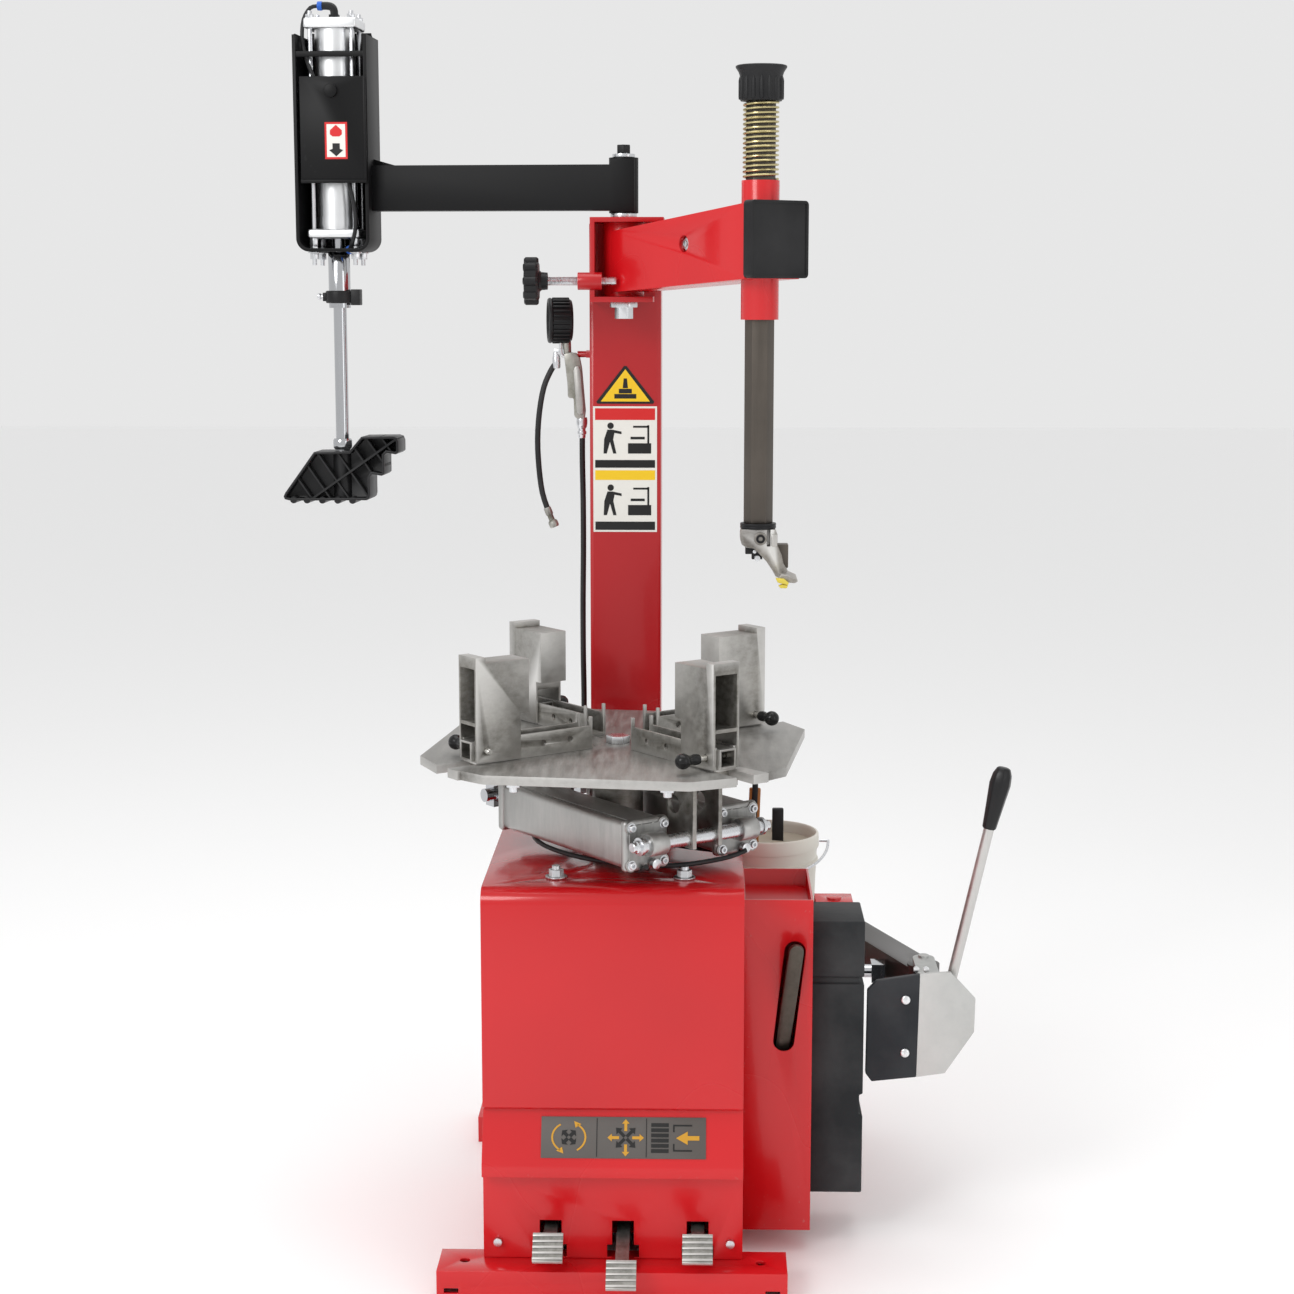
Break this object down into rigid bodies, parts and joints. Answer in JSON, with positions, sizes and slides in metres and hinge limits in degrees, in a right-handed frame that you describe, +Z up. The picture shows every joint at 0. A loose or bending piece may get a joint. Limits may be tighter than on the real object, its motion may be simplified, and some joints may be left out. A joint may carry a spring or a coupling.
{
  "type": "tire changer",
  "caption": "Swing-arm tire changer: air-clamp turntable with motorcycle jaws, spring tool shaft, side bead breaker, inflator gun and powered press arm.",
  "frame": {"origin": "on the floor under the turntable's vertical axis, on the underside of the base cross member", "axes": "+X to the operator's right towards the bead breaker, +Y to the rear towards the column, +Z up"},
  "size_m": [1.0831, 0.7774, 1.791],
  "materials": {
    "red_paint": "gloss",
    "black_paint": "satin",
    "dark_paint": "satin",
    "rubber_pad": "matte",
    "black_plastic": "satin",
    "hose_rubber": "satin",
    "zinc": "satin",
    "chrome_rod": "polished",
    "bare_steel": "satin",
    "dark_steel": "satin",
    "spring_zinc": "satin",
    "aluminium": "satin",
    "white_barrel": "satin",
    "cast_grey": "matte",
    "pin_steel": "satin",
    "yellow_plastic": "satin",
    "plate_grey": "matte",
    "white_plastic": "satin"
  },
  "bodies": {
    "machine": {"base_frame": "red_paint", "cabinet_shell": "red_paint", "cabinet_screws": "zinc", "control_plate": "plate_grey", "side_housing": "red_paint", "bead_pad": "rubber_pad", "column": "red_paint", "pivot_bolt": "zinc", "gearbox": "cast_grey", "drive_motor": "dark_paint", "drive_belt": "hose_rubber", "pedal_unit": "cast_grey", "bead_cylinder": "aluminium", "pivot_bracket": "red_paint", "inflator_gun": "aluminium", "pressure_gauge": "black_plastic", "tyre_hose": "hose_rubber", "feed_hose": "hose_rubber", "tyre_chuck": "aluminium"},
    "table": {"table_plate": "bare_steel", "table_spindle": "bare_steel", "table_bolts": "zinc"},
    "worm": {"worm_shaft": "bare_steel"},
    "motor": {"motor_pulley": "bare_steel"},
    "jaw_1": {"jaw_1": "bare_steel", "clamp_cylinders": "aluminium"},
    "jaw_2": {"jaw_2": "bare_steel"},
    "jaw_3": {"jaw_3": "bare_steel", "clamp_rods": "chrome_rod"},
    "jaw_4": {"jaw_4": "bare_steel"},
    "pin_1": {"lock_pin_1": "pin_steel"},
    "pin_2": {"lock_pin_2": "pin_steel"},
    "pin_3": {"lock_pin_3": "pin_steel"},
    "pin_4": {"lock_pin_4": "pin_steel"},
    "swing_arm": {"swing_beam": "red_paint", "arm_end_cover": "black_plastic", "shaft_spring": "spring_zinc"},
    "tool_shaft": {"hex_shaft": "dark_steel", "shaft_cap": "black_plastic", "mount_head": "bare_steel", "head_insert": "yellow_plastic"},
    "stop_screw": {"stop_screw": "zinc"},
    "stop_knob": {"stop_knob": "black_plastic"},
    "press_arm": {"press_beam": "black_paint", "press_housing": "black_paint", "press_cover": "black_paint", "press_cylinder": "white_barrel"},
    "press_rod": {"press_rod": "chrome_rod"},
    "press_foot": {"press_foot": "black_plastic"},
    "pedal_left": {"pedal_left": "aluminium"},
    "pedal_middle": {"pedal_middle": "aluminium"},
    "pedal_right": {"pedal_right": "aluminium"},
    "bead_arm": {"bead_arm": "dark_paint"},
    "blade": {"bead_blade": "bare_steel", "blade_guard": "black_plastic", "blade_handle": "aluminium"},
    "bead_rod": {"bead_rod": "chrome_rod"},
    "tyre_lever": {"tyre_lever": "dark_steel"},
    "bucket": {"bucket": "white_plastic"},
    "bucket_bail": {"bucket_bail": "zinc"}
  },
  "joints": [
    {"name": "table_spin", "type": "hinge", "parent": "machine", "child": "table", "pos_m": [0, 0, 0.725], "axis": [0, 0, 1], "continuous": true},
    {"name": "worm_spin", "type": "hinge", "parent": "machine", "child": "worm", "pos_m": [0, -0.0695, 0.4325], "axis": [1, 0, 0], "continuous": true},
    {"name": "motor_spin", "type": "hinge", "parent": "machine", "child": "motor", "pos_m": [0, -0.0695, 0.2], "axis": [1, 0, 0], "continuous": true},
    {"name": "jaw_slide_1", "type": "slide", "parent": "table", "child": "jaw_1", "axis": [0.6074, -0.7944, 0], "range_m": [-0.02, 0.06]},
    {"name": "jaw_slide_2", "type": "slide", "parent": "table", "child": "jaw_2", "axis": [0.7944, 0.6074, 0], "range_m": [-0.02, 0.06]},
    {"name": "jaw_slide_3", "type": "slide", "parent": "table", "child": "jaw_3", "axis": [-0.6074, 0.7944, 0], "range_m": [-0.02, 0.06]},
    {"name": "jaw_slide_4", "type": "slide", "parent": "table", "child": "jaw_4", "axis": [-0.7944, -0.6074, 0], "range_m": [-0.02, 0.06]},
    {"name": "pin_pull_1", "type": "slide", "parent": "jaw_1", "child": "pin_1", "axis": [-0.7944, -0.6074, 0], "range_m": [0, 0.03], "stiffness_N_per_m": 150, "springref_m": -0.01},
    {"name": "pin_pull_2", "type": "slide", "parent": "jaw_2", "child": "pin_2", "axis": [0.6074, -0.7944, 0], "range_m": [0, 0.03], "stiffness_N_per_m": 150, "springref_m": -0.01},
    {"name": "pin_pull_3", "type": "slide", "parent": "jaw_3", "child": "pin_3", "axis": [0.7944, 0.6074, 0], "range_m": [0, 0.03], "stiffness_N_per_m": 150, "springref_m": -0.01},
    {"name": "pin_pull_4", "type": "slide", "parent": "jaw_4", "child": "pin_4", "axis": [-0.6074, 0.7944, 0], "range_m": [0, 0.03], "stiffness_N_per_m": 150, "springref_m": -0.01},
    {"name": "arm_swing", "type": "hinge", "parent": "machine", "child": "swing_arm", "pos_m": [0, 0.272, 1.41], "axis": [0, 0, 1], "range_deg": [0, 62]},
    {"name": "shaft_slide", "type": "slide", "parent": "swing_arm", "child": "tool_shaft", "axis": [0, 0, 1], "range_m": [-0.035, 0.25], "deforming": ["shaft_spring"]},
    {"name": "stop_slide", "type": "slide", "parent": "machine", "child": "stop_screw", "axis": [-1, 0, 0], "range_m": [0, 0.0201]},
    {"name": "stop_knob_turn", "type": "hinge", "parent": "stop_screw", "child": "stop_knob", "pos_m": [-0.13, 0.223, 1.38], "axis": [-1, 0, 0], "range_deg": [0, 3600]},
    {"name": "press_swing", "type": "hinge", "parent": "machine", "child": "press_arm", "pos_m": [0, 0.272, 1.52], "axis": [0, 0, 1], "range_deg": [-70, 95]},
    {"name": "press_slide", "type": "slide", "parent": "press_arm", "child": "press_rod", "axis": [0, 0, 1], "range_m": [-0.15, 0.03]},
    {"name": "press_foot_turn", "type": "hinge", "parent": "press_rod", "child": "press_foot", "pos_m": [-0.43509, 0.30014, 1.13], "axis": [0, 0, 1], "range_deg": [-90, 90]},
    {"name": "pedal_left_press", "type": "hinge", "parent": "machine", "child": "pedal_left", "pos_m": [-0.086, -0.14, 0.08], "axis": [1, 0, 0], "range_deg": [-5, 12], "stiffness_Nm_per_rad": 25, "springref_deg": -0.46},
    {"name": "pedal_middle_press", "type": "hinge", "parent": "machine", "child": "pedal_middle", "pos_m": [0.014, -0.14, 0.08], "axis": [1, 0, 0], "range_deg": [-13, 1.5]},
    {"name": "pedal_right_press", "type": "hinge", "parent": "machine", "child": "pedal_right", "pos_m": [0.117, -0.14, 0.08], "axis": [1, 0, 0], "range_deg": [0, 12], "stiffness_Nm_per_rad": 25, "springref_deg": -1.72},
    {"name": "bead_arm_swing", "type": "hinge", "parent": "machine", "child": "bead_arm", "pos_m": [0.335, 0.385, 0.346], "axis": [0, 0, 1], "range_deg": [0, 35]},
    {"name": "bead_rod_slide", "type": "slide", "parent": "machine", "child": "bead_rod", "axis": [1, 0, 0], "range_m": [0, 0.16]},
    {"name": "blade_turn", "type": "hinge", "parent": "bead_arm", "child": "blade", "pos_m": [0.452, 0.088, 0.346], "axis": [0, 0, 1], "range_deg": [0, 12]},
    {"name": "lever_pull", "type": "slide", "parent": "machine", "child": "tyre_lever", "axis": [0.1077, -0.2588, 0.9599], "range_m": [0, 0.3]},
    {"name": "bucket_lift", "type": "slide", "parent": "machine", "child": "bucket", "axis": [0, 0, 1], "range_m": [0, 0.15]},
    {"name": "bail_swing", "type": "hinge", "parent": "bucket", "child": "bucket_bail", "pos_m": [0.222, 0.29, 0.512], "axis": [-1, 0, 0], "range_deg": [0, 75]}
  ],
  "couplings": [
    {"joint": "worm_spin", "follows": "table_spin", "ratio": 30},
    {"joint": "motor_spin", "follows": "table_spin", "ratio": 60},
    {"joint": "jaw_slide_2", "follows": "jaw_slide_1", "ratio": 1},
    {"joint": "jaw_slide_3", "follows": "jaw_slide_1", "ratio": 1},
    {"joint": "jaw_slide_4", "follows": "jaw_slide_1", "ratio": 1},
    {"joint": "stop_slide", "follows": "stop_knob_turn", "m_per_rad": 0.00031831},
    {"joint": "bead_rod_slide", "follows": "bead_arm_swing", "m_per_rad": 0.245}
  ]
}
